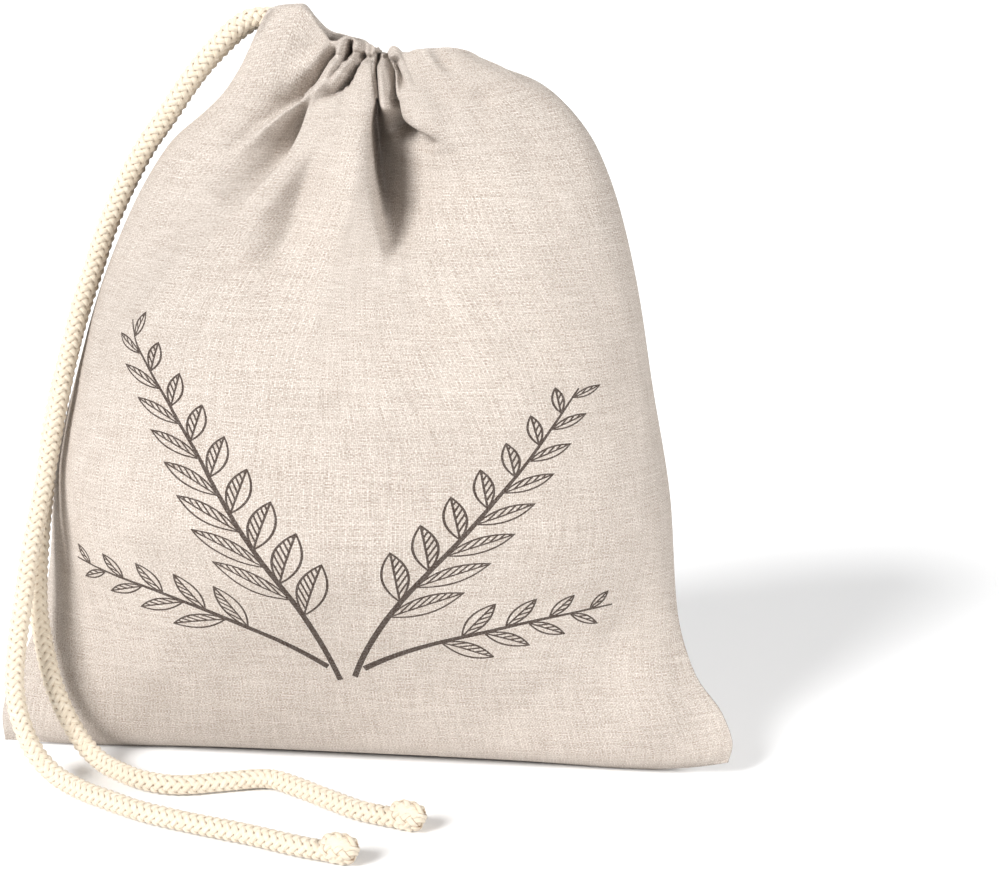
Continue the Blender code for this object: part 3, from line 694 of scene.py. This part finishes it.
# ================================================================ materials
class Nodes:
    """Short words for building a material's nodes."""

    def __init__(self, tree):
        self.tree = tree

    def node(self, kind, **settings):
        made = self.tree.nodes.new(kind)
        for name, value in settings.items():
            setattr(made, name, value)
        return made

    def put(self, socket, value):
        if isinstance(value, bpy.types.NodeSocket):
            self.tree.links.new(value, socket)
        else:
            socket.default_value = value

    def math(self, operation, *values, clamp=False):
        made = self.node("ShaderNodeMath", operation=operation, use_clamp=clamp)
        for socket, value in zip(made.inputs, values):
            self.put(socket, value)
        return made.outputs[0]

    def times(self, a, b):
        return self.math("MULTIPLY", a, b)

    def plus(self, a, b):
        return self.math("ADD", a, b)

    def minus(self, a, b):
        return self.math("SUBTRACT", a, b)

    def vector(self, x=0., y=0., z=0.):
        made = self.node("ShaderNodeCombineXYZ")
        for socket, value in zip(made.inputs, (x, y, z)):
            self.put(socket, value)
        return made.outputs[0]

    def noise(self, place, scale, detail=2., rough=.5):
        made = self.node("ShaderNodeTexNoise")
        self.put(made.inputs["Vector"], place)
        made.inputs["Scale"].default_value = scale
        made.inputs["Detail"].default_value = detail
        made.inputs["Roughness"].default_value = rough
        return made.outputs["Fac"]

    def ramp(self, value, low, high, to_low=0., to_high=1.):
        made = self.node("ShaderNodeMapRange", clamp=True)
        for socket, number in zip(made.inputs, (value, low, high, to_low, to_high)):
            self.put(socket, number)
        return made.outputs[0]

    def mix(self, share, a, b, blend="MIX"):
        made = self.node("ShaderNodeMix", data_type="RGBA", blend_type=blend)
        self.put(made.inputs["Factor"], share)
        self.put(made.inputs[6], a)
        self.put(made.inputs[7], b)
        return made.outputs[2]

    def grey(self, value):
        made = self.node("ShaderNodeCombineColor")
        for socket in made.inputs:
            self.put(socket, value)
        return made.outputs[0]


def new_material(name):
    material = bpy.data.materials.new(name)
    material.use_nodes = True
    return material, Nodes(material.node_tree), material.node_tree.nodes["Principled BSDF"]


# A generic print of leafy sprigs, drawn on the flat front panel in millimetres: where a
# stem starts, its direction in degrees, its length, how far it bends over that length,
# and the length of its longest leaf.
Sprig = namedtuple("Sprig", "x y angle length bend leaf")
SPRIGS = (
    Sprig(140, 52, 105, 158, -36, 27),
    Sprig(146, 54, 68, 140, 30, 25),
    Sprig(136, 58, 143, 98, -28, 22),
    Sprig(150, 58, 30, 92, 22, 21),
)
LEAF_PITCH = 15.          # from one leaf to the next on the same side of a stem
LEAF_LEAN = 38.           # degrees between a leaf and its stem
LEAF_WIDTH = .17          # half width of a leaf, as a share of its length
TIP_BARE = .3             # how near a stem's tip the last leaf may stand, in leaf pitches
BARE_STEM = 26.           # the stem's own length below its first leaf
LEAF_LEAST = .45          # the last leaf's size, as a share of the first one's
ROW_OVERLAP = 3           # leaves whose boxes reach over one place on a stem
INK_LINE = .74            # width of a drawn line
RIB_SHARE = .45           # half width of a leaf's rib, as a share of that
STEM_FROM, STEM_TO = 1.6, .5         # half width of a stem, foot and tip, as shares of that
HATCH = 1.8               # from one shading line to the next
HATCH_SLANT = .6
HATCH_GAP = .25           # how high the wave has to be for a line of shading
INK = (.024, .012, .008, 1.)
INK_SOAK = (.97, .78)     # how much of it dark and pale threads take


def leaf_mask(n, a, b, other_side, sprig, back):
    """One leaf of the row on a stem: its outline, its rib, and shading on its lower half."""
    half_step = n.times(other_side, .5)     # leaves on the two sides alternate
    place = n.plus(n.math("DIVIDE", a, LEAF_PITCH), half_step)
    row = n.minus(n.math("FLOOR", place), float(back))
    start = n.times(n.minus(row, half_step), LEAF_PITCH)
    grown = n.ramp(start, BARE_STEM, sprig.length, 1., LEAF_LEAST)
    long = n.times(grown, float(sprig.leaf))
    ahead = n.minus(a, start)
    aside = n.math("ABSOLUTE", b)
    lean_cos, lean_sin = cos(radians(LEAF_LEAN)), sin(radians(LEAF_LEAN))
    la = n.plus(n.times(ahead, lean_cos), n.times(aside, lean_sin))
    lb = n.minus(n.times(aside, lean_cos), n.times(ahead, lean_sin))
    q = n.math("DIVIDE", la, long)
    bow = n.times(n.times(q, n.minus(1., q)), 4.)
    half_width = n.times(n.times(bow, long), LEAF_WIDTH)
    edge = n.minus(half_width, n.math("ABSOLUTE", lb))
    inside = n.math("GREATER_THAN", edge, 0.)
    outline = n.math("LESS_THAN", edge, INK_LINE)
    rib = n.math("LESS_THAN", n.math("ABSOLUTE", lb), INK_LINE * RIB_SHARE)
    slanted = n.plus(n.times(la, HATCH_SLANT), lb)
    wave = n.math("SINE", n.times(slanted, 2 * pi / HATCH))
    shade = n.times(n.math("GREATER_THAN", wave, HATCH_GAP), n.math("LESS_THAN", lb, 0.))
    drawn = n.math("MAXIMUM", n.math("MAXIMUM", outline, rib), shade)
    on_stem = n.times(n.math("GREATER_THAN", start, BARE_STEM),
                      n.math("LESS_THAN", start, sprig.length - LEAF_PITCH * TIP_BARE))
    return n.times(n.times(inside, drawn), on_stem)


def sprig_mask(n, x, y, sprig):
    """1 where a sprig's ink lies on the flat panel, x and y in millimetres."""
    turn = radians(sprig.angle)
    dx = n.minus(x, float(sprig.x))
    dy = n.minus(y, float(sprig.y))
    a = n.plus(n.times(dx, cos(turn)), n.times(dy, sin(turn)))
    b = n.minus(n.times(dy, cos(turn)), n.times(dx, sin(turn)))
    bow = n.times(n.times(a, a), sprig.bend / sprig.length ** 2)
    b = n.plus(b, bow)
    stem_width = n.ramp(a, 0., sprig.length, INK_LINE * STEM_FROM, INK_LINE * STEM_TO)
    on_stem = n.times(n.math("GREATER_THAN", a, 0.), n.math("LESS_THAN", a, float(sprig.length)))
    mask = n.times(n.math("LESS_THAN", n.math("ABSOLUTE", b), stem_width), on_stem)
    other_side = n.math("GREATER_THAN", b, 0.)
    for back in range(ROW_OVERLAP):
        mask = n.math("MAXIMUM", mask, leaf_mask(n, a, b, other_side, sprig, back))
    return mask


LINEN_THREAD = .00062     # from one thread to the next
THREAD_DRIFT = 1.6        # how far the threads wander, in threads
THREAD_LENGTH = .035      # how fast a thread's tone changes along it, low for slowly
SLUBS = (.62, .78)        # where in its noise a thread starts to thicken, and is thickest
LINEN_CRUMPLE = 2.2       # height of the fine crumples, against a thread's
LINEN_BUMP = .0003
LINEN_LIGHT = (.69, .63, .575, 1.)
LINEN_DARK = (.33, .27, .225, 1.)


def linen():
    """Natural linen: a plain weave of uneven threads, pale and tan ones mixed, with shade painted into the
    gaps between them.
    """
    material, n, shader = new_material("linen")
    place = n.node("ShaderNodeAttribute", attribute_name="cloth").outputs["Vector"]
    split = n.node("ShaderNodeSeparateXYZ")
    n.put(split.inputs[0], place)
    drift_x = n.times(n.minus(n.noise(place, 60.), .5), THREAD_DRIFT)
    drift_y = n.times(n.minus(n.noise(place, 47.), .5), THREAD_DRIFT)
    x = n.plus(n.math("DIVIDE", split.outputs[0], LINEN_THREAD), drift_x)
    y = n.plus(n.math("DIVIDE", split.outputs[1], LINEN_THREAD), drift_y)
    warp = n.math("FLOOR", x)
    weft = n.math("FLOOR", y)
    warp_round = n.math("ABSOLUTE", n.math("SINE", n.times(x, pi)))
    weft_round = n.math("ABSOLUTE", n.math("SINE", n.times(y, pi)))
    warp_on_top = n.math("MODULO", n.math("ABSOLUTE", n.plus(warp, weft)), 2.)
    over = n.math("GREATER_THAN", warp_on_top, .5)

    # each thread's own tone, which changes slowly along it, and its thick places
    warp_tone = n.noise(n.vector(n.times(warp, 3.17), n.times(y, THREAD_LENGTH)), 1., 3., .6)
    weft_tone = n.noise(n.vector(n.times(x, THREAD_LENGTH), n.times(weft, 3.61), 5.), 1., 3., .6)
    tone = n.plus(n.times(warp_tone, over), n.times(weft_tone, n.minus(1., over)))
    speck = n.noise(n.vector(x, y, 9.), 1., 1.)
    tone = n.plus(n.times(tone, .45), n.times(speck, .55))
    lumps = n.noise(n.vector(n.times(x, .03), n.times(weft, .9), 2.), 1., 2.)
    slub = n.ramp(lumps, *SLUBS)
    top = n.plus(n.times(warp_round, over), n.times(weft_round, n.minus(1., over)))
    crossing = n.times(warp_round, weft_round)
    height = n.plus(n.times(top, .6), n.times(crossing, .4))
    height = n.plus(height, n.times(slub, .5))

    pale = n.ramp(tone, .34, .66)
    colour = n.mix(pale, LINEN_DARK, LINEN_LIGHT)
    colour = n.mix(n.times(slub, .45), colour, LINEN_LIGHT)
    # painted shade: the weave's colour darkens towards the gaps between its threads
    gap_shade = n.ramp(crossing, .0, .35, .72, 1.)
    colour = n.mix(1., colour, n.grey(gap_shade), "MULTIPLY")
    cloudy = n.ramp(n.noise(place, 9., 3.), .3, .7, .94, 1.04)
    colour = n.mix(1., colour, n.grey(cloudy), "MULTIPLY")

    # the print, on the front panel alone: pale threads take less of the ink
    mm_x = n.times(split.outputs[0], 1000.)
    mm_y = n.times(split.outputs[1], 1000.)
    ink = None
    for sprig in SPRIGS:
        mask = sprig_mask(n, mm_x, mm_y, sprig)
        ink = mask if ink is None else n.math("MAXIMUM", ink, mask)
    ink = n.times(ink, n.math("LESS_THAN", split.outputs[2], 0.))
    soaked = n.times(ink, n.ramp(tone, .25, .75, *INK_SOAK))
    colour = n.mix(soaked, colour, INK)
    n.put(shader.inputs["Base Color"], colour)
    shader.inputs["Roughness"].default_value = .92
    shader.inputs["Specular IOR Level"].default_value = .1
    shader.inputs["Sheen Weight"].default_value = .02
    shader.inputs["Sheen Roughness"].default_value = .5
    crumple = n.times(n.noise(place, 55., 3.), LINEN_CRUMPLE)
    bump = n.node("ShaderNodeBump")
    bump.inputs["Strength"].default_value = .55
    bump.inputs["Distance"].default_value = LINEN_BUMP
    n.put(bump.inputs["Height"], n.plus(height, crumple))
    n.put(shader.inputs["Normal"], bump.outputs[0])
    return material


COTTON_LIGHT = (.74, .67, .56, 1.)
COTTON_DARK = (.61, .51, .38, 1.)
# colour of the shade painted down in the plait's creases
COTTON_CREASE_SHADE = (.36, .235, .14, 1.)
YARNS = 13                # fine yarns round each strand
YARN_TWIST = 900.         # how fast they wind round it, in radians a metre
COTTON_BUMP = .00012


def cotton():
    """Cream cotton: strands of fine yarns that lie along them, with shade painted down in the plait."""
    material, n, shader = new_material("cotton")
    place = n.node("ShaderNodeAttribute", attribute_name="cloth").outputs["Vector"]
    split = n.node("ShaderNodeSeparateXYZ")
    n.put(split.inputs[0], place)
    along, about, strand = split.outputs
    yarn = n.plus(n.times(about, YARNS), n.times(along, YARN_TWIST))
    lines = n.math("SINE", n.plus(yarn, n.times(n.noise(place, 400.), 3.)))
    tone = n.noise(n.vector(n.times(along, 60.), n.times(about, 3.), strand), 1., 3.)
    outer = n.mix(n.ramp(tone, .3, .7), COTTON_DARK, COTTON_LIGHT)
    # painted shade: each strand darkens towards its edges and its side that faces into the cord
    colour = n.mix(n.ramp(n.math("SINE", about), .0, .6), COTTON_CREASE_SHADE, outer)
    n.put(shader.inputs["Base Color"], colour)
    shader.inputs["Roughness"].default_value = .88
    shader.inputs["Specular IOR Level"].default_value = .25
    shader.inputs["Sheen Weight"].default_value = .25
    bump = n.node("ShaderNodeBump")
    bump.inputs["Strength"].default_value = .5
    bump.inputs["Distance"].default_value = COTTON_BUMP
    n.put(bump.inputs["Height"], n.plus(lines, n.times(tone, 2.)))
    n.put(shader.inputs["Normal"], bump.outputs[0])
    return material


# ================================================================ studio
FLOOR_SIZE = 60.
FLOOR_COLOUR = (.94, .94, .94, 1.)
# Soft lights: where each comes from, in degrees round from the front (towards +X) and up,
# how wide it is, and how strong.
Lamp = namedtuple("Lamp", "name azimuth elevation width strength")
LAMPS = (
    Lamp("window", -38, 31, 24, 4.55),
    Lamp("side", 72, 24, 34, 2.2),
    Lamp("front", 8, 30, 50, .3),
    Lamp("rear", -155, 35, 50, 1.6),
)
WORLD_LIGHT = .15


def make_studio():
    data = bpy.data.meshes.new("floor")
    half = FLOOR_SIZE / 2
    corners = [(-half, -half, 0.), (half, -half, 0.), (half, half, 0.), (-half, half, 0.)]
    data.from_pydata(corners, [], [(0, 1, 2, 3)])
    floor = bpy.data.objects.new("floor", data)
    bpy.context.scene.collection.objects.link(floor)
    material, _, shader = new_material("floor")
    shader.inputs["Base Color"].default_value = FLOOR_COLOUR
    shader.inputs["Roughness"].default_value = .6
    shader.inputs["Specular IOR Level"].default_value = .2
    data.materials.append(material)

    world = bpy.data.worlds.new("studio")
    world.use_nodes = True
    background = world.node_tree.nodes["Background"]
    background.inputs["Color"].default_value = (1., 1., 1., 1.)
    background.inputs["Strength"].default_value = WORLD_LIGHT
    bpy.context.scene.world = world
    bpy.context.scene.view_settings.view_transform = "Standard"

    for lamp in LAMPS:
        light = bpy.data.lights.new(lamp.name, "SUN")
        light.angle = radians(lamp.width)
        light.energy = lamp.strength
        azimuth, elevation = radians(lamp.azimuth), radians(lamp.elevation)
        towards = Vector((sin(azimuth) * cos(elevation), -cos(azimuth) * cos(elevation), sin(elevation)))
        made = bpy.data.objects.new(lamp.name, light)
        made.location = towards
        made.rotation_euler = towards.to_track_quat("Z", "Y").to_euler()
        bpy.context.scene.collection.objects.link(made)


# ================================================================ the scene
def main():
    make_camera()
    cotton_material = cotton()
    for name, route, knot_name in (("cord_tail_front", FRONT_ROUTE, "knot_front"),
                                   ("cord_tail_back", BACK_ROUTE, "knot_back")):
        knot = make_knot("plaited_" + knot_name, route, cotton_material)
        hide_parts(knot_name)
        tail, path = make_tail("plaited_" + name, route, cotton_material)
        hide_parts(name)
        for piece in (knot, tail):
            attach(piece, "root")

    linen_material = linen()
    for name, side, columns, rows in (("front_panel", -1, FRONT_COLUMNS, FRONT_ROWS),
                                      ("back_panel", 1, BACK_COLUMNS, BACK_ROWS)):
        panel = make_panel(name, side, columns, rows, linen_material)
        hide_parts("bag")
        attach(panel, "root")
    make_studio()


main()
